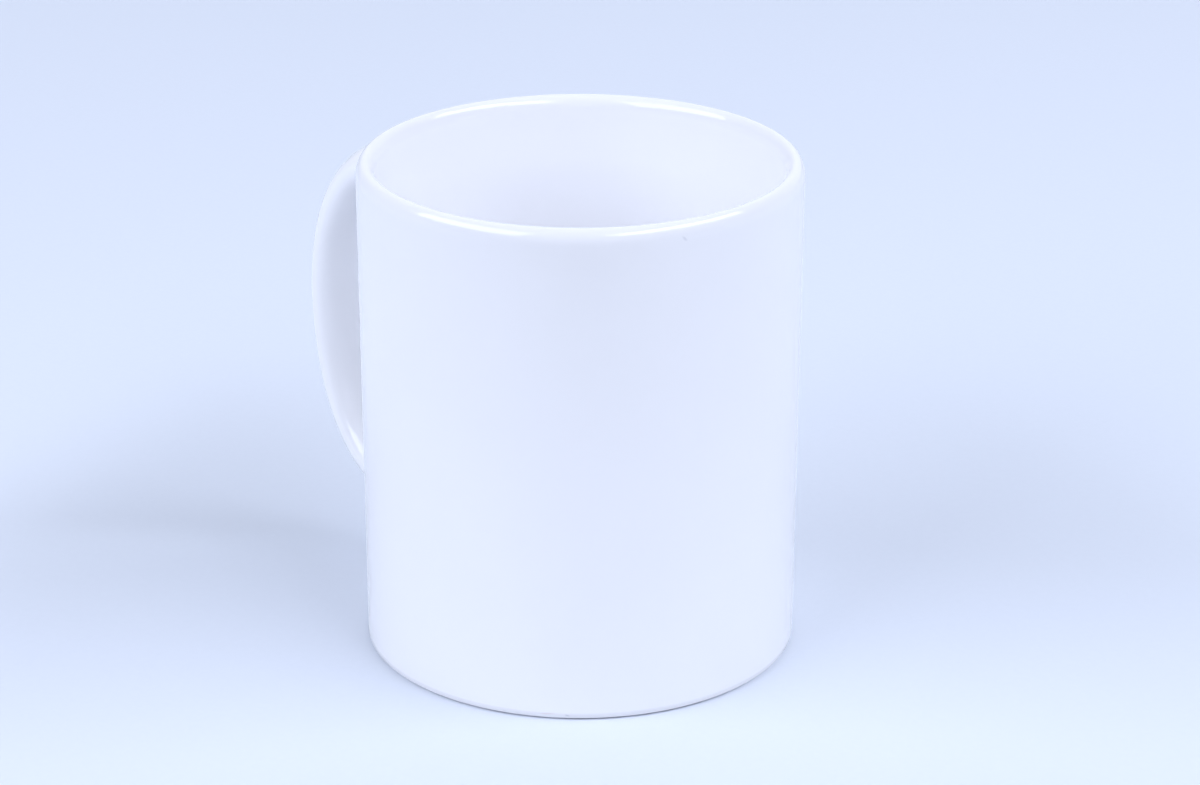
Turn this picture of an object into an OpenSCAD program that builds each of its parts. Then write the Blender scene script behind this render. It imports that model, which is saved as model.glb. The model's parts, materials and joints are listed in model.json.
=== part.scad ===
// Straight-sided ceramic mug blank for printing in a mug heat press, with a D-shaped strap handle.
// The clay parts, their slip joints and the skins over them are separate solids that meet face to face.
// Frame: origin at the centre of the foot on the table, +Z up, handle towards +X. Millimetres.

/* [Cup] */
// Outer diameter of the finished cup at the lip
mug_d = 82; // [80:0.5:86]
// Height from the table to the top of the lip
mug_h = 94; // [90:1:120]
// Inner diameter of the finished cup along its straight bore
bore_d = 74; // [70:0.5:75]
// How much less the outer radius is at the foot than at the lip
draft = 0.4; // [0:0.1:0.6]
// Thickness of the finished lip
lip_t = 3.5; // [3:0.1:4]
// Height at which the bore starts to open out towards the lip
flare_z = 80; // [70:1:84]
// Height of the finished inside floor above the table
floor_z = 8; // [7.5:0.5:10]
// Radius between the inside wall and the inside floor
floor_fillet = 8; // [4:1:12]

/* [Foot] */
// Radius of the clay corner between the wall and the foot
corner_r = 1; // [0.8:0.1:2]
// Radius of the finished hollow under the cup
hollow_r = 34.3; // [32:0.1:35]
// Depth of the finished hollow under the cup
hollow_h = 2.4; // [1.5:0.1:3]
// Radius round the rim of the hollow's roof
hollow_fillet = 1.2; // [0.6:0.1:1.4]

/* [Skins] */
// Thickness of each coat of glaze
glaze_t = 0.4; // [0.3:0.05:0.5]
// Thickness of the print coating
coat_t = 0.2; // [0.15:0.05:0.3]
// Height at which the glaze stops above the table
glaze_stop_z = 0.3; // [0.2:0.05:0.5]
// Height at which the print coating stops above the table
coat_stop_z = 0.5; // [0.5:0.05:1]
// How far below the top of the lip the print coating stops
coat_below_lip = 3; // [2.5:0.5:6]

/* [Handle] */
// Reach of the handle's middle line past the finished wall
handle_reach = 30; // [26:1:34]
// Width of the strap at its middle
strap_w = 13; // [11:0.5:15]
// Thickness of the strap at its middle
strap_t = 8; // [7:0.5:9]
// Width of the strap where it meets the cup
root_w = 15.5; // [13:0.5:16]
// Thickness of the strap where it meets the cup
root_t = 9.5; // [8:0.5:10]
// Height of the middle line where it meets the cup at the top
top_root_z = 81.2; // [79:0.1:82]
// Height of the middle line where it meets the cup at the bottom
low_root_z = 18; // [16:0.5:20]
// Height at which the handle reaches furthest out
bulge_z = 49.7; // [46:0.1:53]
// Upward tilt of the middle line at the top root, in degrees
top_tilt = 12; // [0:1:20]
// Downward tilt of the middle line at the bottom root, in degrees
low_tilt = 27; // [0:1:30]
// Squareness of the strap's section, where 2 is an ellipse
squareness = 2.1; // [2:0.1:3]

/* [Hidden] */
$fn = 96;

clay_white = "#e9e4da";
slip_white = "#e4dfd5";
glaze_white = "#f2f5fa";
coat_white = "#f4f7fc";

mug_r = mug_d / 2;
bore_r = bore_d / 2;
mouth_r = mug_r - lip_t;                      // inner radius at the lip
lip_z = mug_h - lip_t / 2;                    // where the wall ends and the lip's arc begins
skin_t = glaze_t + coat_t;                    // both skins on the outside of the wall
corner_x = mug_r - draft - skin_t - corner_r; // centre of the arcs round the foot's corner
coat_top_z = mug_h - coat_below_lip;
beyond = 5;                                   // how far a cutting shape runs past what it cuts

root_r = mug_r - 1;                           // radius at which the handle's curves start
joint_r = mug_r + 0.9;                        // radius at which slip gives way to handle
root_lead = 4;                                // straight strap inside the root, cut off again
slip_spread = 0.9;                            // how far the slip is squeezed out round the root
slip_bevel = 0.8;                             // how much narrower the slip gets over slip_rise
slip_rise = 1.6;
strap_rings = 18;                             // rings along each half of the handle
strap_sides = 28;

// Handle curves in its own plane: [distance from the cup's axis, height].
top_root = [root_r, top_root_z];
low_root = [root_r, low_root_z];
bulge = [mug_r + handle_reach, bulge_z];
upper_curve = [
    top_root, top_root + 20 * [cos(top_tilt), sin(top_tilt)],
    bulge + [0, 20.5], bulge
];
lower_curve = [
    bulge, bulge - [0, 23.5],
    low_root + 21 * [cos(low_tilt), -sin(low_tilt)], low_root
];

// ---- Profiles of the cup, as half sections: x is the radius, y the height ----

// One quarter of a disc, towards +x and +y
module quarter_disc(r) {
    intersection() {
        circle(r);
        square(2 * r);
    }
}

// Everything inside a surface that lies the given depth below the finished outside of the wall
module wall_outline(depth) {
    corner = corner_r + skin_t - depth;
    polygon([
        [0, corner_r], [corner_x + corner, corner_r], [mug_r - depth, lip_z], [0, lip_z]
    ]);
    translate([0, corner_r - corner]) square([corner_x, corner]);
    translate([corner_x, corner_r]) mirror([0, 1]) quarter_disc(corner);
}

// The half disc that rounds the lip, between an outer and an inner skin
module lip_arc(outer_depth, inner_depth) {
    r = (lip_t - outer_depth - inner_depth) / 2;
    translate([mouth_r + inner_depth + r, lip_z]) {
        quarter_disc(r);
        mirror([1, 0]) quarter_disc(r);
    }
}

// The drinking space, grown all round by the given amount
module cavity(grow) {
    fillet_z = floor_z + floor_fillet;
    polygon([
        [0, fillet_z], [bore_r + grow, fillet_z], [bore_r + grow, flare_z],
        [mouth_r + grow, lip_z], [mouth_r + grow, lip_z + beyond], [0, lip_z + beyond]
    ]);
    translate([0, floor_z - grow]) square([bore_r - floor_fillet, floor_fillet + grow]);
    translate([bore_r - floor_fillet, fillet_z]) mirror([0, 1]) quarter_disc(floor_fillet + grow);
}

// The shallow hollow inside the foot ring, grown all round by the given amount
module hollow(grow) {
    side_z = hollow_h - hollow_fillet;
    translate([0, -beyond]) square([hollow_r + grow, beyond + side_z]);
    translate([0, side_z]) square([hollow_r - hollow_fillet, hollow_fillet + grow]);
    translate([hollow_r - hollow_fillet, side_z]) quarter_disc(hollow_fillet + grow);
}

// A band of heights, to keep part of a profile
module band(low, high) {
    translate([0, low]) square([2 * mug_r, high - low]);
}

// ---- Handle ----

function bezier(c, t) =
    pow(1 - t, 3) * c[0] + 3 * pow(1 - t, 2) * t * c[1] + 3 * (1 - t) * t * t * c[2] + pow(t, 3) * c[3];
function bezier_slope(c, t) =
    pow(1 - t, 2) * (c[1] - c[0]) + 2 * (1 - t) * t * (c[2] - c[1]) + t * t * (c[3] - c[2]);
function unit(v) = v / norm(v);

// Middle line and its direction at s, which runs from 0 at the top root to 1 at the bottom root
function strap_point(s) = s < 0.5 ? bezier(upper_curve, 2 * s) : bezier(lower_curve, 2 * s - 1);
function strap_direction(s) =
    unit(s < 0.5 ? bezier_slope(upper_curve, 2 * s) : bezier_slope(lower_curve, 2 * s - 1));

// One coordinate of a superellipse from the sine or cosine of its angle
function squared_off(v) = sign(v) * pow(abs(v), 2 / squareness);

// One ring of the strap at s, moved along its direction by shift
function strap_ring(s, shift) =
    let (
        along = strap_direction(s),
        middle = strap_point(s) + shift * along,
        flare = pow(abs(2 * s - 1), 3),
        half_w = (strap_w + (root_w - strap_w) * flare) / 2,
        half_t = (strap_t + (root_t - strap_t) * flare) / 2
    )
    [
        for (k = [0 : strap_sides - 1])
            let (
                a = 360 * k / strap_sides,
                out = half_t * squared_off(cos(a)),
                side = half_w * squared_off(sin(a))
            )
            [middle.x - along.y * out, side, middle.y + along.x * out]
    ];

strap_loops = concat(
    [strap_ring(0, -root_lead)],
    [for (i = [0 : 2 * strap_rings]) strap_ring(i / (2 * strap_rings), 0)],
    [strap_ring(1, root_lead)]
);

// Skins a list of rings that all have the same number of points, and closes both ends
module loft(rings) {
    n = len(rings[0]);
    last = len(rings) - 1;
    sides = [
        for (i = [0 : last - 1], k = [0 : n - 1])
            let (a = i * n + k, b = i * n + (k + 1) % n)
            each [[a, b, a + n], [b, b + n, a + n]]
    ];
    near_end = [for (k = [n - 1 : -1 : 0]) k];
    far_end = [for (k = [0 : n - 1]) last * n + k];
    polyhedron([for (ring = rings) each ring], concat([near_end, far_end], sides));
}

// ---- Slip joints ----

// Height and radius of the round-ended slip under a root whose middle line has the given tilt
function slip_z(root, tilt) = root.y + (joint_r - root.x) * tan(tilt);
function slip_r(tilt) = root_t / 2 / cos(tilt) + slip_spread;

upper_slip = [slip_z(top_root, top_tilt), slip_r(top_tilt)];
lower_slip = [slip_z(low_root, -low_tilt), slip_r(low_tilt)];

// A flat oval across the wall that narrows by bevel as it rises: a disc at each side and a bar between
module slip_oval(slip, rise, bevel) {
    r = slip[1];
    side = (root_w - root_t) / 2;
    translate([0, 0, slip[0]]) {
        for (y = [-side, side])
            translate([0, y, 0]) rotate([0, 90, 0]) cylinder(h = rise, r1 = r, r2 = r - bevel);
        translate([0, side, 0]) rotate([90, 0, 0]) linear_extrude(2 * side)
            polygon([[0, -r], [rise, bevel - r], [rise, r - bevel], [0, r]]);
    }
}

// The straight plug of slip that passes through the skins
module slip_plug(slip) {
    translate([mug_r - beyond, 0, 0]) slip_oval(slip, beyond, 0);
}

// The slip that sticks one root to the clay wall
module slip_joint(slip) {
    difference() {
        intersection() {
            union() {
                slip_plug(slip);
                translate([mug_r, 0, 0]) slip_oval(slip, slip_rise, slip_bevel);
            }
            cylinder(h = mug_h, r = joint_r);
        }
        rotate_extrude() wall_outline(skin_t);
    }
}

// A skin on the wall, open where the two joints pass through it
module skin_on_wall() {
    difference() {
        rotate_extrude() children();
        slip_plug(upper_slip);
        slip_plug(lower_slip);
    }
}

// ---- Parts ----

module cup_body() {
    color(clay_white) rotate_extrude() difference() {
        union() {
            difference() {
                wall_outline(skin_t);
                cavity(glaze_t);
            }
            lip_arc(skin_t, glaze_t);
        }
        hollow(glaze_t);
    }
}

module handle() {
    color(glaze_white) difference() {
        loft(strap_loops);
        cylinder(h = mug_h, r = joint_r);
    }
}

module upper_slip_joint() {
    color(slip_white) slip_joint(upper_slip);
}

module lower_slip_joint() {
    color(slip_white) slip_joint(lower_slip);
}

// Glaze inside the cup, over the lip and down to the edge of the print coating
module liner_glaze() {
    color(glaze_white) rotate_extrude() {
        intersection() {
            difference() {
                cavity(glaze_t);
                cavity(0);
            }
            band(0, lip_z);
        }
        intersection() {
            difference() {
                wall_outline(0);
                wall_outline(skin_t);
            }
            band(coat_top_z, lip_z);
        }
        difference() {
            lip_arc(0, 0);
            lip_arc(skin_t, glaze_t);
        }
    }
}

// Glaze on the outside of the wall, under the print coating
module wall_glaze() {
    color(glaze_white) skin_on_wall() intersection() {
        difference() {
            wall_outline(coat_t);
            wall_outline(skin_t);
        }
        band(glaze_stop_z, coat_top_z);
    }
}

// Glaze in the hollow under the cup
module base_glaze() {
    color(glaze_white) rotate_extrude() intersection() {
        difference() {
            hollow(glaze_t);
            hollow(0);
        }
        band(glaze_stop_z, floor_z);
    }
}

// The clear polymer that takes the print
module print_coating() {
    color(coat_white) skin_on_wall() intersection() {
        difference() {
            wall_outline(0);
            wall_outline(coat_t);
        }
        band(coat_stop_z, coat_top_z);
    }
}

cup_body();
handle();
upper_slip_joint();
lower_slip_joint();
liner_glaze();
wall_glaze();
base_glaze();
print_coating();
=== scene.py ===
"""A plain white printable mug: lathed clay and glaze shells, and a swept handle that runs into the wall."""

import json
import math

import bpy
import numpy as np
from mathutils import Matrix, Vector


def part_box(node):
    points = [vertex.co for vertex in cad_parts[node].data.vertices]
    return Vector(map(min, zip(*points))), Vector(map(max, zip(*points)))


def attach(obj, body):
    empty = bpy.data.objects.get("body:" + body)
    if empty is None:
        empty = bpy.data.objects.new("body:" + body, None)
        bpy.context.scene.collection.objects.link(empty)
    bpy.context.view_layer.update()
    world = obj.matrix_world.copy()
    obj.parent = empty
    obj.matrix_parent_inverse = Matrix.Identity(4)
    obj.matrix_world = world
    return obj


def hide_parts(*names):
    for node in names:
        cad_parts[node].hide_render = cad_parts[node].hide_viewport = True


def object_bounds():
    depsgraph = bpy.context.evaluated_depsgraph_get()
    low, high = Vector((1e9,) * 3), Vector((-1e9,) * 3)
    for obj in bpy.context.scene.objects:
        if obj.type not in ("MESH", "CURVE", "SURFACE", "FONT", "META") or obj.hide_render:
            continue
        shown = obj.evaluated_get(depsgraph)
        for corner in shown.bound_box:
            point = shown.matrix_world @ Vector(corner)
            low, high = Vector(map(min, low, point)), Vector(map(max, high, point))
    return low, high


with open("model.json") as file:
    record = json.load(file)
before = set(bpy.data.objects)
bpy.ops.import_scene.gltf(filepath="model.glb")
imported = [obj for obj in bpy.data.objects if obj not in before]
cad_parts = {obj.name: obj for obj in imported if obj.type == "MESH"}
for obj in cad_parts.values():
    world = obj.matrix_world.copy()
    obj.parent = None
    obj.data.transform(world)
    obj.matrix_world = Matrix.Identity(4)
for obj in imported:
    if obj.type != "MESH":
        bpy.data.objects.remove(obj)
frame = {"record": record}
cad_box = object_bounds()
record = frame["record"]

MM = 0.001
TURN = 2 * math.pi

# ---- Sizes that the frame gives ----
MUG_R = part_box("liner_glaze")[1].x
MUG_H = cad_box[1].z
BORE_R = next(m["dims"]["r_mm"] for m in record["mounts"] if m["name"] == "mouth_bore") * MM
COAT_STOP_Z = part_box("print_coating")[0].z
COAT_TOP_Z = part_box("print_coating")[1].z
GLAZE_STOP_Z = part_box("wall_glaze")[0].z
HANDLE_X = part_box("handle")[1].x

# ---- Sizes that match the CAD, which its boxes don't give ----
DRAFT = 0.4 * MM
LIP_T = 3.5 * MM
GLAZE_T = 0.4 * MM
COAT_T = 0.2 * MM
SKIN_T = GLAZE_T + COAT_T
CORNER_R = 1.0 * MM
FLARE_Z = 80 * MM
FLOOR_FILLET = 8 * MM
HOLLOW_FILLET = 1.2 * MM

# ---- The lip is an oval, taller than the CAD's half circle and as thick ----
LIP_RISE = 2.8 * MM

# ---- Sizes worked out from the frame's and the ones above ----
LIP_Z = MUG_H - LIP_RISE
MOUTH_R = MUG_R - LIP_T
FLOOR_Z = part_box("liner_glaze")[0].z + GLAZE_T
HOLLOW_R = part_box("base_glaze")[1].x - GLAZE_T
HOLLOW_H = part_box("base_glaze")[1].z - GLAZE_T
CORNER_X = MUG_R - DRAFT - SKIN_T - CORNER_R

# ---- How finely the meshes are made ----
LATHE_STEPS = 288
WALL_STEP = 2.0 * MM
ARC_STEPS = 10
LIP_STEPS = 20
STRAP_SIDES = 64
STRAP_RINGS = 120
FILLET_RINGS = 12
ROOT_HALVINGS = 40

# ---- Points this close together, in metres, are one point, or lie on one sharp corner ----
SAME_POINT = 1e-7
NEAR_POINT = 1e-6


# ---------------------------------------------------------------- mesh tools


def make_object(name, points, faces, sharp_edges=()):
    """A smooth-shaded mesh object, with the given edges kept sharp."""
    mesh = bpy.data.meshes.new(name)
    mesh.from_pydata([tuple(p) for p in points], [], [tuple(f) for f in faces])
    mesh.polygons.foreach_set("use_smooth", [True] * len(mesh.polygons))
    if sharp_edges:
        wanted = {tuple(sorted(e)) for e in sharp_edges}
        flags = [tuple(sorted(e.vertices)) in wanted for e in mesh.edges]
        mesh.attributes.new("sharp_edge", "BOOLEAN", "EDGE").data.foreach_set("value", flags)
    mesh.validate()
    obj = bpy.data.objects.new(name, mesh)
    bpy.context.scene.collection.objects.link(obj)
    return obj


def line(start, end, step=WALL_STEP):
    """Points from start to end, both included, no further apart than step."""
    start, end = np.array(start, float), np.array(end, float)
    count = max(1, math.ceil(np.linalg.norm(end - start) / step))
    return [tuple(start + (end - start) * k / count) for k in range(count + 1)]


def arc(centre, radius, start_deg, end_deg, steps=ARC_STEPS):
    """Points along an arc in the (radius, height) plane."""
    angles = np.radians(np.linspace(start_deg, end_deg, steps + 1))
    return [(centre[0] + radius * math.cos(a), centre[1] + radius * math.sin(a)) for a in angles]


def joined(*paths):
    """Paths laid end to end, with the points that they share kept once."""
    points = []
    for path in paths:
        for point in path:
            if not points or math.dist(points[-1], point) > SAME_POINT:
                points.append(point)
    return points


# ---------------------------------------------------------------- surface of the ware

WOBBLE_DEPTH = 0.05 * MM
WOBBLE_FADE = 10 * MM

# Waves round the ware: how many, radians of twist per metre of height, phase, size
WOBBLE_WAVES = ((2, 0, 0.7, 0.2), (3, 25, 1.9, 0.14), (5, -40, 0.4, 0.1))


def wobble(angle, height):
    """A slow, seamless unevenness between 0 and 1, as cast and glazed ware has."""
    total = 0.5
    for count, twist, phase, size in WOBBLE_WAVES:
        total += size * math.sin(count * angle + twist * height + phase)
    return total


def settle(radius, height, angle):
    """Where a point of the perfect lathe lies on the real ware: thinner by the unevenness on both sides.

    The unevenness fades out over WOBBLE_FADE down to the inside floor, so the foot stays flat.
    """
    middle = MUG_R - LIP_T / 2
    lean = max(-1.0, min(1.0, (radius - middle) / (LIP_T / 2)))
    fade = max(0.0, min(1.0, (height - FLOOR_Z) / WOBBLE_FADE))
    return radius - lean * fade * WOBBLE_DEPTH * wobble(angle, height), height


def lathe(name, loop, sharp=()):
    """Turns a closed loop of (radius, height) points, run anticlockwise, about the cup's axis."""
    loop = joined(loop)
    if math.dist(loop[0], loop[-1]) < SAME_POINT:
        loop = loop[:-1]
    points, rings = [], []
    for radius, height in loop:
        if radius < SAME_POINT:
            rings.append([len(points)])
            points.append((0.0, 0.0, height))
            continue
        rings.append(list(range(len(points), len(points) + LATHE_STEPS)))
        for k in range(LATHE_STEPS):
            angle = TURN * k / LATHE_STEPS
            r, z = settle(radius, height, angle)
            points.append((r * math.cos(angle), r * math.sin(angle), z))
    faces, edges = [], []
    for index, ring in enumerate(rings):
        following = rings[(index + 1) % len(rings)]
        if len(ring) == 1 and len(following) == 1:
            continue
        for k in range(LATHE_STEPS):
            after = (k + 1) % LATHE_STEPS
            if len(ring) == 1:
                faces.append((ring[0], following[after], following[k]))
            elif len(following) == 1:
                faces.append((ring[k], ring[after], following[0]))
            else:
                faces.append((ring[k], ring[after], following[after], following[k]))
        if len(ring) > 1 and any(math.dist(loop[index], corner) < NEAR_POINT for corner in sharp):
            edges += [(ring[k], ring[(k + 1) % LATHE_STEPS]) for k in range(LATHE_STEPS)]
    return make_object(name, points, faces, edges)


def wall_r(depth, height):
    """Radius of the outside wall, the given depth below its finished surface."""
    return MUG_R - depth - DRAFT * (LIP_Z - height) / (LIP_Z - CORNER_R)


def wall_path(depth, low, high):
    """Up the outside wall from one height to another, round the foot's corner if low is in it."""
    corner = CORNER_R + SKIN_T - depth
    if low >= CORNER_R:
        return line((wall_r(depth, low), low), (wall_r(depth, high), high))
    start = math.degrees(math.asin(max(-1.0, (low - CORNER_R) / corner)))
    rounding = arc((CORNER_X, CORNER_R), corner, start, 0)
    return joined(rounding, line(rounding[-1], (wall_r(depth, high), high)))


def lip_path(outer_depth, inner_depth):
    """Over the lip, from the outside to the inside."""
    radius = (LIP_T - outer_depth - inner_depth) / 2
    stretch = (LIP_RISE - (outer_depth + inner_depth) / 2) / radius
    rounding = arc((MOUTH_R + inner_depth + radius, 0), radius, 0, 180, LIP_STEPS)
    return [(r, LIP_Z + stretch * z) for r, z in rounding]


def cavity_path(grow):
    """Down the inside wall and across the floor to the axis."""
    fillet_z = FLOOR_Z + FLOOR_FILLET
    down = line((MOUTH_R + grow, LIP_Z), (BORE_R + grow, FLARE_Z))
    straight = line((BORE_R + grow, FLARE_Z), (BORE_R + grow, fillet_z))
    corner = arc((BORE_R - FLOOR_FILLET, fillet_z), FLOOR_FILLET + grow, 0, -90)
    floor = line((BORE_R - FLOOR_FILLET, FLOOR_Z - grow), (0, FLOOR_Z - grow))
    return joined(down, straight, corner, floor)


def hollow_path(grow, low):
    """Up the inside of the foot ring and across the hollow's roof to the axis."""
    side_z = HOLLOW_H - HOLLOW_FILLET
    side = line((HOLLOW_R + grow, low), (HOLLOW_R + grow, side_z))
    corner = arc((HOLLOW_R - HOLLOW_FILLET, side_z), HOLLOW_FILLET + grow, 0, 90)
    roof = line((HOLLOW_R - HOLLOW_FILLET, HOLLOW_H + grow), (0, HOLLOW_H + grow))
    return joined(side, corner, roof)


def shell(name, outer, inner):
    """A lathed skin between two paths that run the same way, outer first."""
    return lathe(name, joined(outer, inner[::-1]), (outer[0], outer[-1], inner[0], inner[-1]))


def make_cup_body():
    outside = joined(wall_path(SKIN_T, 0, LIP_Z), lip_path(SKIN_T, GLAZE_T), cavity_path(GLAZE_T))
    underside = hollow_path(GLAZE_T, 0)
    return lathe("cup_clay", joined(outside, underside[::-1]), (underside[0], outside[0]))


def make_liner():
    outer = joined(wall_path(0, COAT_TOP_Z, LIP_Z), lip_path(0, 0), cavity_path(0))
    inner = joined(wall_path(SKIN_T, COAT_TOP_Z, LIP_Z), lip_path(SKIN_T, GLAZE_T), cavity_path(GLAZE_T))
    return shell("liner_and_lip_glaze", outer, inner)


def make_wall_glaze():
    outer = wall_path(COAT_T, GLAZE_STOP_Z, COAT_TOP_Z)
    return shell("outside_glaze", outer, wall_path(SKIN_T, GLAZE_STOP_Z, COAT_TOP_Z))


def make_print_coating():
    outer = wall_path(0, COAT_STOP_Z, COAT_TOP_Z)
    return shell("print_coat", outer, wall_path(COAT_T, COAT_STOP_Z, COAT_TOP_Z))


def make_base_glaze():
    # The hollow is seen from below, so the loop runs the other way round.
    outer = hollow_path(0, GLAZE_STOP_Z)
    inner = hollow_path(GLAZE_T, GLAZE_STOP_Z)
    return lathe("foot_hollow_glaze", joined(inner, outer[::-1]), (outer[0], inner[0]))


# ---------------------------------------------------------------- handle

STRAP_W, STRAP_T = 13 * MM, 8 * MM
ROOT_W, ROOT_T = 15.5 * MM, 9.5 * MM
SQUARENESS = 2.1
ROOT_R = MUG_R - 1 * MM
TOP_ROOT = np.array([ROOT_R, 81.2 * MM])
LOW_ROOT = np.array([ROOT_R, 18 * MM])
BULGE = np.array([HANDLE_X - STRAP_T / 2, 49.7 * MM])
TOP_TILT, LOW_TILT = math.radians(12), math.radians(27)
TOP_LEAD = 20 * MM * np.array([math.cos(TOP_TILT), math.sin(TOP_TILT)])
LOW_LEAD = 21 * MM * np.array([math.cos(LOW_TILT), -math.sin(LOW_TILT)])
UPPER_CURVE = (TOP_ROOT, TOP_ROOT + TOP_LEAD, BULGE + np.array([0, 20.5 * MM]), BULGE)
LOWER_CURVE = (BULGE, BULGE - np.array([0, 23.5 * MM]), LOW_ROOT + LOW_LEAD, LOW_ROOT)
FILLET_R = 2.6 * MM
FILLET_SINK = 0.01 * MM
SEAM_H, SEAM_W = 0.06 * MM, 0.7 * MM

# Inside the wall the strap runs straight on, this far for each unit of the way along it.
ROOT_RUN = 40 * MM
# A root's crossing is looked for from this far past its end to this far along the strap.
ROOT_REACH, ROOT_SEARCH = 0.15, 0.3


def bezier(curve, t):
    """Point and slope of a cubic curve."""
    a, b, c, d = curve
    u = 1 - t
    point = u**3 * a + 3 * u * u * t * b + 3 * u * t * t * c + t**3 * d
    slope = u * u * (b - a) + 2 * u * t * (c - b) + t * t * (d - c)
    return point, slope / np.linalg.norm(slope)


def strap_at(s):
    """Middle point and direction of the strap, from 0 at its top root to 1 at its bottom one.

    Past either end it runs straight on inside the wall.
    """
    if s < 0:
        point, along = bezier(UPPER_CURVE, 0)
        return point + along * s * ROOT_RUN, along
    if s > 1:
        point, along = bezier(LOWER_CURVE, 1)
        return point + along * (s - 1) * ROOT_RUN, along
    return bezier(UPPER_CURVE, 2 * s) if s < 0.5 else bezier(LOWER_CURVE, 2 * s - 1)


def superellipse(angle):
    """Point on a rounded-off oval of half-sizes 1 and 1."""
    c, s = math.cos(angle), math.sin(angle)
    power = 2 / SQUARENESS
    return math.copysign(abs(c) ** power, c), math.copysign(abs(s) ** power, s)


def strap_point(s, angle):
    """A point of the strap's surface, with its faint mould seam."""
    middle, along = strap_at(s)
    flare = min(1, abs(2 * s - 1)) ** 3
    half_w = (STRAP_W + (ROOT_W - STRAP_W) * flare) / 2
    half_t = (STRAP_T + (ROOT_T - STRAP_T) * flare) / 2
    out, side = superellipse(angle)
    seam = math.exp(-((side * half_w / SEAM_W) ** 2)) * (1 - flare)
    across = half_t * out - math.copysign(SEAM_H * (1 - seam), out)
    x = middle[0] - along[1] * across
    z = middle[1] + along[0] * across
    return Vector((x, side * half_w, z))


def surface_r(angle, height):
    """Radius of the settled wall, a hair below its surface, so that a fillet leaves no gap."""
    return settle(wall_r(0, height), height, angle)[0] - FILLET_SINK


def unrolled(point):
    """A point as distance round the wall, height, and distance out from the wall."""
    angle = math.atan2(point.y, point.x)
    out = math.hypot(point.x, point.y) - surface_r(angle, point.z)
    return np.array([angle * MUG_R, point.z, out])


def rolled(flat):
    """The reverse of unrolled."""
    angle = flat[0] / MUG_R
    radius = surface_r(angle, flat[1]) + flat[2]
    return Vector((radius * math.cos(angle), radius * math.sin(angle), flat[1]))


def crossing(angle, out, upper):
    """Where along the strap its surface line stands the given distance out from the wall."""
    near, far = -ROOT_REACH, ROOT_SEARCH
    if not upper:
        near, far = 1 - near, 1 - far
    for _ in range(ROOT_HALVINGS):
        middle = (near + far) / 2
        if unrolled(strap_point(middle, angle))[2] < out:
            near = middle
        else:
            far = middle
    return (near + far) / 2


def fillet_rings(angles, starts, upper):
    """The slip fillet at one root, as rings from its rim on the wall to where the strap starts clear of it.

    It is worked out on the wall laid flat: each of its lines bends from the rim to the strap in one curve,
    whose middle control point is where the strap itself would meet the wall.
    """
    feet = np.array([unrolled(strap_point(crossing(a, 0, upper), a)) for a in angles])
    clear = np.array([unrolled(strap_point(s, a)) for s, a in zip(starts, angles)])
    tangent = np.roll(feet, -1, axis=0) - np.roll(feet, 1, axis=0)
    away = np.stack([tangent[:, 1], -tangent[:, 0]], axis=1)
    away /= np.linalg.norm(away, axis=1)[:, None]
    from_centre = (feet - feet.mean(axis=0))[:, :2]
    away *= np.sign((from_centre * away).sum(axis=1))[:, None]
    rim = feet.copy()
    rim[:, :2] += away * FILLET_R
    rings = []
    for step in range(FILLET_RINGS + 1):
        t = step / FILLET_RINGS
        ring = (1 - t) ** 2 * rim + 2 * t * (1 - t) * feet + t * t * clear
        rings.append([rolled(flat) for flat in ring])
    return rings


def handle_rings():
    """The whole handle as rings, from the wall round to the wall, with a fillet's rings at each end."""
    angles = [TURN * k / STRAP_SIDES for k in range(STRAP_SIDES)]
    first = [crossing(a, FILLET_R, True) for a in angles]
    last = [crossing(a, FILLET_R, False) for a in angles]
    strap = []
    for ring in range(1, STRAP_RINGS):
        t = ring / STRAP_RINGS
        strap.append([strap_point(s + (e - s) * t, a) for s, e, a in zip(first, last, angles)])
    return fillet_rings(angles, first, True) + strap + fillet_rings(angles, last, False)[::-1]


def tube_faces(ring_count, sides):
    """Four-sided faces between neighbouring rings of a tube."""
    faces = []
    for r in range(ring_count - 1):
        for k in range(sides):
            a, b = r * sides + k, r * sides + (k + 1) % sides
            faces.append((a, a + sides, b + sides, b))
    return faces


def ring_mesh(name, rings, normals):
    """A closed tube through rings, with one face over each end, and the given normals along its sides."""
    sides = len(rings[0])
    points = [p for ring in rings for p in ring]
    start = list(range(sides))
    end = list(range(len(points) - sides, len(points)))
    obj = make_object(name, points, tube_faces(len(rings), sides) + [start, end[::-1]])
    corner_normals = []
    for polygon in obj.data.polygons:
        if len(polygon.vertices) == sides:
            corner_normals += [polygon.normal.copy()] * sides
        else:
            corner_normals += [normals[v] for v in polygon.vertices]
    obj.data.normals_split_custom_set(corner_normals)
    return obj


def make_handle():
    """The handle and its two slip joints, cut from one smooth surface so that its shading runs on."""
    rings = handle_rings()
    sides, final = len(rings[0]), len(rings) - 1
    points = [p for ring in rings for p in ring]
    whole = make_object("whole", points, tube_faces(len(rings), sides))
    normals = [v.normal.copy() for v in whole.data.vertices]
    bpy.data.objects.remove(whole)
    # At both rims the fillet is level with the wall, so it takes the wall's normals.
    for r in (0, final):
        for k, p in enumerate(rings[r]):
            normals[r * sides + k] = Vector((p.x, p.y, 0)).normalized()
    cut = (0, FILLET_RINGS, final - FILLET_RINGS, final)
    names = ("upper_slip_fillet", "handle_strap", "lower_slip_fillet")
    made = []
    for name, low, high in zip(names, cut, cut[1:]):
        made.append(ring_mesh(name, rings[low:high + 1], normals[low * sides:(high + 1) * sides]))
    return made


# ---------------------------------------------------------------- materials


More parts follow.
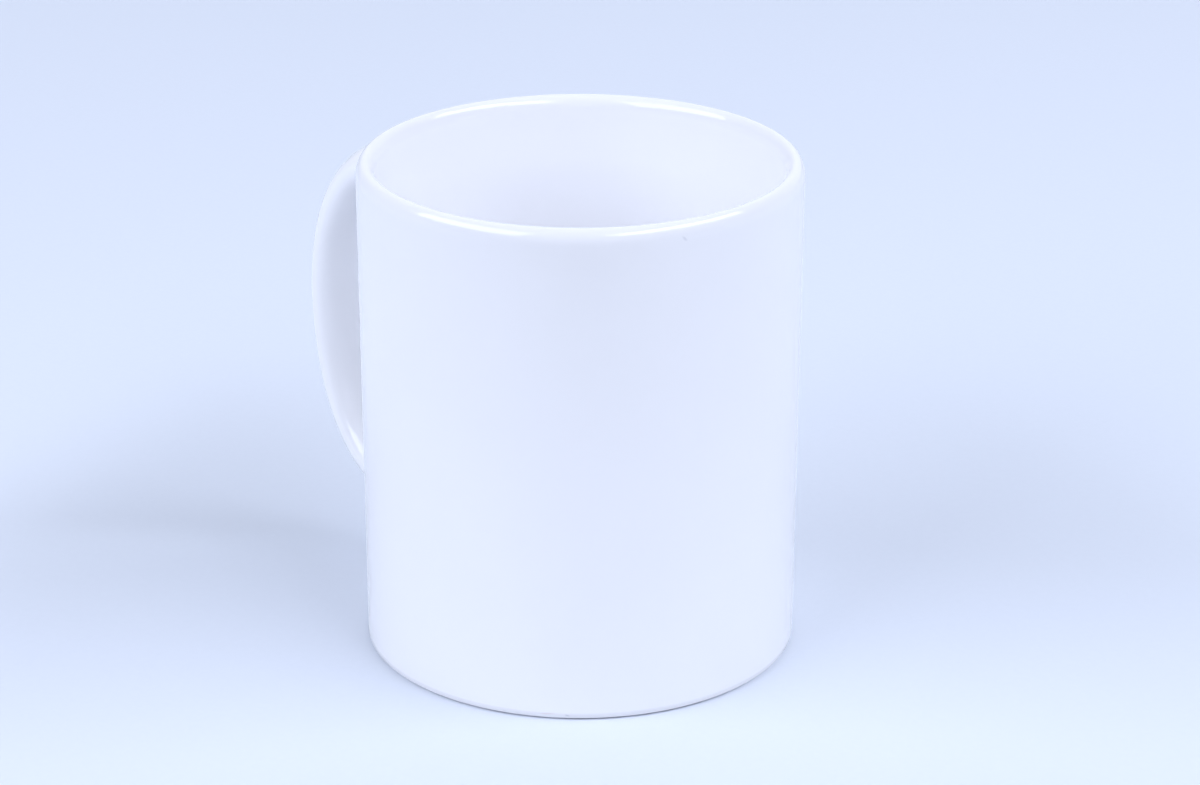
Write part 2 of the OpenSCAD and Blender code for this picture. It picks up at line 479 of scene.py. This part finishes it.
class Nodes:
    """A material's node tree, with short calls to add to it."""

    def __init__(self, name):
        self.material = bpy.data.materials.new(name)
        self.material.use_nodes = True
        self.tree = self.material.node_tree
        self.tree.nodes.clear()
        self.output = self.tree.nodes.new("ShaderNodeOutputMaterial")
        self.shader = self.tree.nodes.new("ShaderNodeBsdfPrincipled")
        self.link(self.shader.outputs[0], self.output.inputs["Surface"])
        self.place = self.tree.nodes.new("ShaderNodeTexCoord").outputs["Object"]

    def link(self, source, target):
        self.tree.links.new(source, target)

    def add(self, kind, inputs=(), **settings):
        """A node with its settings, and with its inputs linked or set."""
        node = self.tree.nodes.new(kind)
        for key, value in settings.items():
            setattr(node, key, value)
        for key, value in dict(inputs).items():
            if isinstance(value, bpy.types.NodeSocket):
                self.link(value, node.inputs[key])
            else:
                node.inputs[key].default_value = value
        return node

    def noise(self, size, detail=2.0, roughness=0.5):
        """Noise from 0 to 1 whose features are about size across."""
        inputs = {"Vector": self.place, "Scale": 1 / size, "Detail": detail, "Roughness": roughness}
        return self.add("ShaderNodeTexNoise", inputs).outputs["Fac"]

    def remap(self, value, low, high, to_low, to_high):
        """The value, with low to high stretched to the range given last and held at its ends."""
        inputs = {"Value": value, "From Min": low, "From Max": high, "To Min": to_low, "To Max": to_high}
        return self.add("ShaderNodeMapRange", inputs).outputs["Result"]

    def math(self, operation, a, b):
        """An operation on two numbers."""
        return self.add("ShaderNodeMath", {0: a, 1: b}, operation=operation).outputs[0]

    def mix(self, amount, a, b):
        """Colour a where the amount is 0 and colour b where it is 1."""
        node = self.add("ShaderNodeMix", data_type="RGBA")
        for index, value in ((0, amount), (6, a), (7, b)):
            if isinstance(value, bpy.types.NodeSocket):
                self.link(value, node.inputs[index])
            else:
                node.inputs[index].default_value = value
        return node.outputs[2]

    def bump(self, height, strength, distance, normal=None):
        """A normal that follows the height, added to another normal if one is given."""
        inputs = {"Height": height, "Strength": strength, "Distance": distance}
        if normal is not None:
            inputs["Normal"] = normal
        return self.add("ShaderNodeBump", inputs).outputs["Normal"]

    def specks(self, spacing, size, share):
        """1 inside small dots, of which only a share are kept, and 0 elsewhere."""
        cells = self.add("ShaderNodeTexVoronoi", {"Vector": self.place, "Scale": 1 / spacing})
        edge = size / spacing
        dot = self.remap(cells.outputs["Distance"], edge, SPECK_CORE * edge, 0, 1)
        chance = self.add("ShaderNodeSeparateColor", {0: cells.outputs["Color"]}).outputs[0]
        kept = self.math("LESS_THAN", chance, share)
        return self.math("MULTIPLY", dot, kept)

    def vector(self, operation, a, b=None):
        """A vector operation, whose result is a number for a length or a dot product."""
        inputs = {0: a} if b is None else {0: a, 1: b}
        node = self.add("ShaderNodeVectorMath", inputs, operation=operation)
        return node.outputs["Value" if operation in ("LENGTH", "DOT_PRODUCT") else "Vector"]

    def height(self):
        """Height above the surface that the mug stands on."""
        return self.add("ShaderNodeSeparateXYZ", {0: self.place}).outputs["Z"]

    def inside_cup(self):
        """1 on the inside of the cup's wall and 0 on the outside, with a soft change below the lip."""
        radius = self.vector("LENGTH", self.vector("MULTIPLY", self.place, (1, 1, 0)))
        within = self.remap(radius, MUG_R - INSIDE_EDGE, MOUTH_R, 0, 1)
        below = self.remap(self.height(), MUG_H - INSIDE_FROM, MUG_H - INSIDE_FULL, 0, 1)
        return self.math("MULTIPLY", within, below)

    def fleck(self, bearing_deg, height, length, thickness, lean_deg):
        """1 in a sliver on the outside wall, fading to 0 at its rim. It leans up by the given angle."""
        bearing, lean = math.radians(bearing_deg), math.radians(lean_deg)
        outward = Vector((math.cos(bearing), math.sin(bearing), 0))
        level = Vector((-math.sin(bearing), math.cos(bearing), 0))
        along = level * math.cos(lean) + Vector((0, 0, math.sin(lean)))
        across = along.cross(outward)
        gap = self.vector("SUBTRACT", self.place, on_wall(bearing_deg, height))
        reach_along = self.vector("DOT_PRODUCT", gap, along / length)
        reach_across = self.vector("DOT_PRODUCT", gap, across / thickness)
        shape = self.add("ShaderNodeCombineXYZ", {0: reach_along, 1: reach_across}).outputs["Vector"]
        soft = self.remap(self.vector("LENGTH", shape), FLECK_RIM, FLECK_CORE, 0, 1)
        # The far side of the cup lies behind the sliver too, so it only counts close by.
        near = self.math("LESS_THAN", self.vector("LENGTH", gap), FLECK_REACH * length)
        return self.math("MULTIPLY", soft, near)


# ---- Colours. Each glaze drifts between a white and a slightly darker, cooler one ----
GLAZE = ((0.885, 0.88, 0.893, 1), (0.877, 0.873, 0.888, 1))
COAT = ((0.883, 0.877, 0.89, 1), (0.875, 0.871, 0.885, 1))
# The handle's white is the glaze's own white made a little lighter: painted light on the handle.
GRIP_PAINTED_LIGHTER = ((0.908, 0.903, 0.915, 1), (0.90, 0.897, 0.91, 1))
# The inside's white is the glaze's own white made lighter: painted light for the brighter-lit inside of the
# cup.
INSIDE_WHITE_PAINTED_LIGHTER = (0.958, 0.958, 0.98, 1)
FOOT_SHADE = (0.78, 0.775, 0.79, 1)
FOOT_RIM_PAINTED_HIGHLIGHT = (0.97, 0.945, 0.955, 1)
CLAY = (0.78, 0.745, 0.68, 1)
CLAY_DARK = (0.62, 0.585, 0.53, 1)
SPECK = (0.16, 0.12, 0.10, 1)
LINT = (0.30, 0.31, 0.38, 1)
RUST = (0.62, 0.50, 0.47, 1)

# ---- Gloss: a glaze's roughness drifts between its two, and is no less than INSIDE_ROUGH inside ----
GLAZE_ROUGH = (0.06, 0.11)
COAT_ROUGH = (0.13, 0.19)
INSIDE_ROUGH = 0.24
GLAZE_IOR = 1.5
COAT_PEEL = 0.8

# ---- Where the inside's painted lighter white and its rougher gloss start, in from the outside wall and down from the lip's top ----
INSIDE_EDGE = 0.4 * LIP_T
INSIDE_FROM, INSIDE_FULL = 0.3 * LIP_T, 0.8 * LIP_T

# ---- Heights between which the glaze takes a painted shade towards the foot, and then a painted highlight on its pale rim ----
SHADE_FROM, SHADE_FULL = 1.5 * MM, 1.1 * MM
HIGHLIGHT_FROM, HIGHLIGHT_FULL = 0.65 * MM, 0.5 * MM

# ---- Sizes of the fine detail. Dots have a spacing, a size and the share of them that is kept ----
DRIFT = 22 * MM
GLOSS_PATCH = 6 * MM
WAVE, WAVE_H = 9 * MM, 0.03 * MM
PEEL, PEEL_H = 1.3 * MM, 0.008 * MM
PINHOLES, PINHOLE_H = (5 * MM, 0.11 * MM, 0.12), 0.05 * MM
IRON, IRON_STRENGTH = (16 * MM, 0.14 * MM, 0.05), 0.6
GRIT, GRIT_H = 0.5 * MM, 0.06 * MM
CLAY_PATCH = 7 * MM
GRAINS, GRAIN_STRENGTH = (1.1 * MM, 0.16 * MM, 0.3), 0.5
FIBRE, FIBRE_H = 1.5 * MM, 0.05 * MM
SPECK_CORE = 0.6

# ---- A fleck fades from its core to its rim, in units of its own size, and reaches this many lengths ----
FLECK_CORE, FLECK_RIM, FLECK_REACH = 0.5, 1.6, 5

# Small marks on the outside wall: bearing, height, length, thickness, lean from level, colour, strength
MARKS = (
    (163.3, 91.2 * MM, 0.5 * MM, 0.2 * MM, -45, LINT, 0.2),
    (133.8, 1.0 * MM, 0.35 * MM, 0.12 * MM, -12, LINT, 0.35),
    (128.6, 1.2 * MM, 1.1 * MM, 0.16 * MM, 4, RUST, 0.3),
)


def on_wall(bearing_deg, height):
    """A place on the finished outside wall."""
    bearing, radius = math.radians(bearing_deg), wall_r(0, height)
    return radius * math.cos(bearing), radius * math.sin(bearing), height


def glaze_surface(n, peel):
    """The bumps of fired glaze: broad waves, orange peel scaled by the given amount, and pinholes."""
    wave = n.bump(n.noise(WAVE, 1.0), 0.3 * peel, WAVE_H)
    orange = n.bump(n.noise(PEEL, 1.0), 0.4 * peel, PEEL_H, wave)
    pits = n.math("SUBTRACT", 1.0, n.specks(*PINHOLES))
    return n.bump(pits, 0.6, PINHOLE_H, orange)


def glaze_material(name, whites, roughness, peel=1.0, inside=None):
    """Fired glaze: slow colour drift, a few iron specks, a lighter inside as painted light if given,
    painted shade and a painted highlight at the foot, flecks, and its bumps.
    """
    n = Nodes(name)
    colour = n.mix(n.remap(n.noise(DRIFT, 3.0), 0.35, 0.65, 0, 1), *whites)
    colour = n.mix(n.math("MULTIPLY", n.specks(*IRON), IRON_STRENGTH), colour, SPECK)
    rough = n.remap(n.noise(GLOSS_PATCH), 0.3, 0.7, *roughness)
    # Inside the cup the white is lightened as painted light, and the gloss is rougher.
    if inside:
        within = n.inside_cup()
        colour = n.mix(within, colour, inside)
        rough = n.math("MAXIMUM", rough, n.math("MULTIPLY", within, INSIDE_ROUGH))
    height = n.height()
    # Painted shade on the glaze just above the foot, then a painted highlight along its lowest rim.
    colour = n.mix(n.remap(height, SHADE_FROM, SHADE_FULL, 0, 1), colour, FOOT_SHADE)
    colour = n.mix(n.remap(height, HIGHLIGHT_FROM, HIGHLIGHT_FULL, 0, 1), colour, FOOT_RIM_PAINTED_HIGHLIGHT)
    for *where, tint, strength in MARKS:
        colour = n.mix(n.math("MULTIPLY", n.fleck(*where), strength), colour, tint)
    n.link(colour, n.shader.inputs["Base Color"])
    n.link(rough, n.shader.inputs["Roughness"])
    n.shader.inputs["IOR"].default_value = GLAZE_IOR
    n.link(glaze_surface(n, peel), n.shader.inputs["Normal"])
    return n.material


def bisque_material():
    """Bare fired clay: chalky, gritty, patchy and grained."""
    n = Nodes("bare_clay")
    grit = n.noise(GRIT, 6.0, 0.7)
    colour = n.mix(n.remap(n.noise(CLAY_PATCH, 3.0), 0.35, 0.7, 0, 1), CLAY, CLAY_DARK)
    colour = n.mix(n.math("MULTIPLY", n.specks(*GRAINS), GRAIN_STRENGTH), colour, SPECK)
    n.link(colour, n.shader.inputs["Base Color"])
    n.link(n.remap(grit, 0.2, 0.8, 0.75, 0.95), n.shader.inputs["Roughness"])
    n.link(n.bump(grit, 0.8, GRIT_H), n.shader.inputs["Normal"])
    return n.material


def floor_material():
    """Pale paper. Past its edge a dark table is there for reflections and bounced light, and isn't seen."""
    n = Nodes("pale_paper")
    fibre = n.noise(FIBRE, 4.0, 0.6)
    paper = n.mix(n.remap(fibre, 0.3, 0.7, 0, 1), FLOOR_PALE, FLOOR_DEEP)
    forward = (math.cos(CAMERA_BEARING), math.sin(CAMERA_BEARING), 0)
    out = n.vector("DOT_PRODUCT", n.place, forward)
    past_edge = n.remap(out, PAPER_EDGE - EDGE_SOFT, PAPER_EDGE + EDGE_SOFT, 0, 1)
    seen = n.add("ShaderNodeLightPath").outputs["Is Camera Ray"]
    unseen = n.math("MAXIMUM", n.math("SUBTRACT", past_edge, seen), 0.0)
    n.link(n.mix(unseen, paper, TABLE_DARK), n.shader.inputs["Base Color"])
    n.shader.inputs["Roughness"].default_value = FLOOR_ROUGH
    n.shader.inputs["Specular IOR Level"].default_value = FLOOR_SHEEN
    n.link(n.bump(fibre, 0.1, FIBRE_H), n.shader.inputs["Normal"])
    return n.material


def wear(obj, material):
    """Gives an object its one material."""
    obj.data.materials.clear()
    obj.data.materials.append(material)


# ---------------------------------------------------------------- the mug


def build_mug():
    """Makes every piece, gives it its material, hangs it under the root body and hides the CAD node that it
    stands for.
    """
    glaze = glaze_material("white_glaze", GLAZE, GLAZE_ROUGH, inside=INSIDE_WHITE_PAINTED_LIGHTER)
    coat = glaze_material("print_coat_gloss", COAT, COAT_ROUGH, peel=COAT_PEEL)
    clay = bisque_material()
    # The handle and its fillets wear the glaze lightened as painted light.
    grip_painted_lighter = glaze_material("handle_glaze", GRIP_PAINTED_LIGHTER, GLAZE_ROUGH)
    upper, strap, lower = make_handle()
    pieces = (
        (make_cup_body(), "cup_body", "bisque", clay),
        (make_liner(), "liner_glaze", "glaze", glaze),
        (make_wall_glaze(), "wall_glaze", "glaze", glaze),
        (make_base_glaze(), "base_glaze", "glaze", glaze),
        (make_print_coating(), "print_coating", "print_coating", coat),
        (strap, "handle", "handle_glaze", grip_painted_lighter),
        (upper, "upper_slip_joint", "slip", grip_painted_lighter),
        (lower, "lower_slip_joint", "slip", grip_painted_lighter),
    )
    for obj, node, slot, material in pieces:
        wear(obj, material)
        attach(obj, "root")
        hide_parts(node)


# ---------------------------------------------------------------- studio

CAMERA_BEARING = math.radians(137.2)
CAMERA_AWAY, CAMERA_UP = 0.6, 0.289
CAMERA_TURN_RIGHT = math.radians(0.35)
CAMERA_PITCH = math.radians(21.9)
CAMERA_ROLL = math.radians(0.13)
CAMERA_LENS, CAMERA_SENSOR = 103.7, 36.0

FLOOR_PALE = (0.757, 0.797, 0.865, 1)
FLOOR_DEEP = (0.747, 0.787, 0.855, 1)
TABLE_DARK = (0.22, 0.23, 0.25, 1)
PAPER_EDGE, EDGE_SOFT = 0.26, 2 * MM
FLOOR_SIZE = 6.0
FLOOR_ROUGH, FLOOR_SHEEN = 0.9, 0.2

LIGHT_TINT = (0.8, 0.855, 1.0)
LIGHT_AWAY = 2.6
ROOM_LIGHT = 0.16

# Glows of the room: bearing to the right of the camera's, height above the floor, sharpness, strength
ROOM_GLOWS = (
    (-145, 8, 6, 0.52),
    (-100, 10, 6, 0.31),
    (0, 15, 6, 0.19),
    (145, 8, 6, 0.87),
    (180, 12, 6, 0.41),
    (180, 50, 4, 0.35),
)

# Soft boxes: name, bearing, height, width and tallness as the mug sees them in degrees, watts
SOFTBOXES = (
    ("right_softbox", 58, 41, 66, 18, 37.5),
    ("right_high_softbox", 64, 48, 58, 12, 25),
    ("left_softbox", -62, 34, 56, 28, 52),
)


def add_camera():
    """The camera at the photo's angle, turned a little off the mug and rolled a little."""
    data = bpy.data.cameras.new("camera")
    data.lens, data.sensor_width = CAMERA_LENS, CAMERA_SENSOR
    data.dof.use_dof = False
    camera = bpy.data.objects.new("camera", data)
    ahead = CAMERA_BEARING + math.pi - CAMERA_TURN_RIGHT
    spin = Matrix.Rotation(ahead - math.pi / 2, 4, "Z")
    tip = Matrix.Rotation(math.pi / 2 - CAMERA_PITCH, 4, "X")
    roll = Matrix.Rotation(CAMERA_ROLL, 4, "Z")
    place = Vector((math.cos(CAMERA_BEARING), math.sin(CAMERA_BEARING), 0)) * CAMERA_AWAY
    place.z = CAMERA_UP
    camera.matrix_world = Matrix.Translation(place) @ spin @ tip @ roll
    bpy.context.scene.collection.objects.link(camera)
    bpy.context.scene.camera = camera


def heading(bearing_deg, height_deg):
    """Unit vector from the mug at a bearing to the right of the camera's, and a height above the floor."""
    bearing = CAMERA_BEARING + math.radians(bearing_deg)
    lift = math.radians(height_deg)
    level = math.cos(lift)
    return Vector((math.cos(bearing) * level, math.sin(bearing) * level, math.sin(lift)))


def add_softbox(name, bearing_deg, height_deg, width_deg, tall_deg, power):
    """A soft light aimed at the middle of the mug, with its size given as the mug sees it."""
    data = bpy.data.lights.new(name, "AREA")
    data.shape = "RECTANGLE"
    data.size = 2 * LIGHT_AWAY * math.tan(math.radians(width_deg / 2))
    data.size_y = 2 * LIGHT_AWAY * math.tan(math.radians(tall_deg / 2))
    data.energy, data.color = power, LIGHT_TINT
    light = bpy.data.objects.new(name, data)
    out = heading(bearing_deg, height_deg)
    light.location = Vector((0, 0, MUG_H / 2)) + out * LIGHT_AWAY
    light.rotation_euler = (-out).to_track_quat("-Z", "Y").to_euler()
    bpy.context.scene.collection.objects.link(light)


def add_floor():
    """The square of floor that the mug stands on."""
    half = FLOOR_SIZE / 2
    corners = [(-half, -half, 0), (half, -half, 0), (half, half, 0), (-half, half, 0)]
    floor = make_object("floor", corners, [(0, 1, 2, 3)])
    wear(floor, floor_material())


def add_world():
    """A pale room: an even light with broad soft glows round the mug."""
    world = bpy.data.worlds.new("studio")
    world.use_nodes = True
    tree = world.node_tree
    towards = tree.nodes.new("ShaderNodeTexCoord").outputs["Generated"]

    def calculate(kind, operation, a, b):
        node = tree.nodes.new(kind)
        node.operation = operation
        for socket, value in zip(node.inputs, (a, b)):
            if isinstance(value, bpy.types.NodeSocket):
                tree.links.new(value, socket)
            else:
                socket.default_value = value
        return node.outputs["Value"]

    total = ROOM_LIGHT
    for bearing, height, sharpness, strength in ROOM_GLOWS:
        facing = calculate("ShaderNodeVectorMath", "DOT_PRODUCT", towards, heading(bearing, height))
        front = calculate("ShaderNodeMath", "MAXIMUM", facing, 0)
        lobe = calculate("ShaderNodeMath", "POWER", front, sharpness)
        glow = calculate("ShaderNodeMath", "MULTIPLY", lobe, strength)
        total = calculate("ShaderNodeMath", "ADD", glow, total)
    background = tree.nodes["Background"]
    background.inputs["Color"].default_value = (*LIGHT_TINT, 1)
    tree.links.new(total, background.inputs["Strength"])
    bpy.context.scene.world = world


build_mug()
add_camera()
add_floor()
for softbox in SOFTBOXES:
    add_softbox(*softbox)
add_world()
bpy.context.scene.view_settings.view_transform = "Standard"
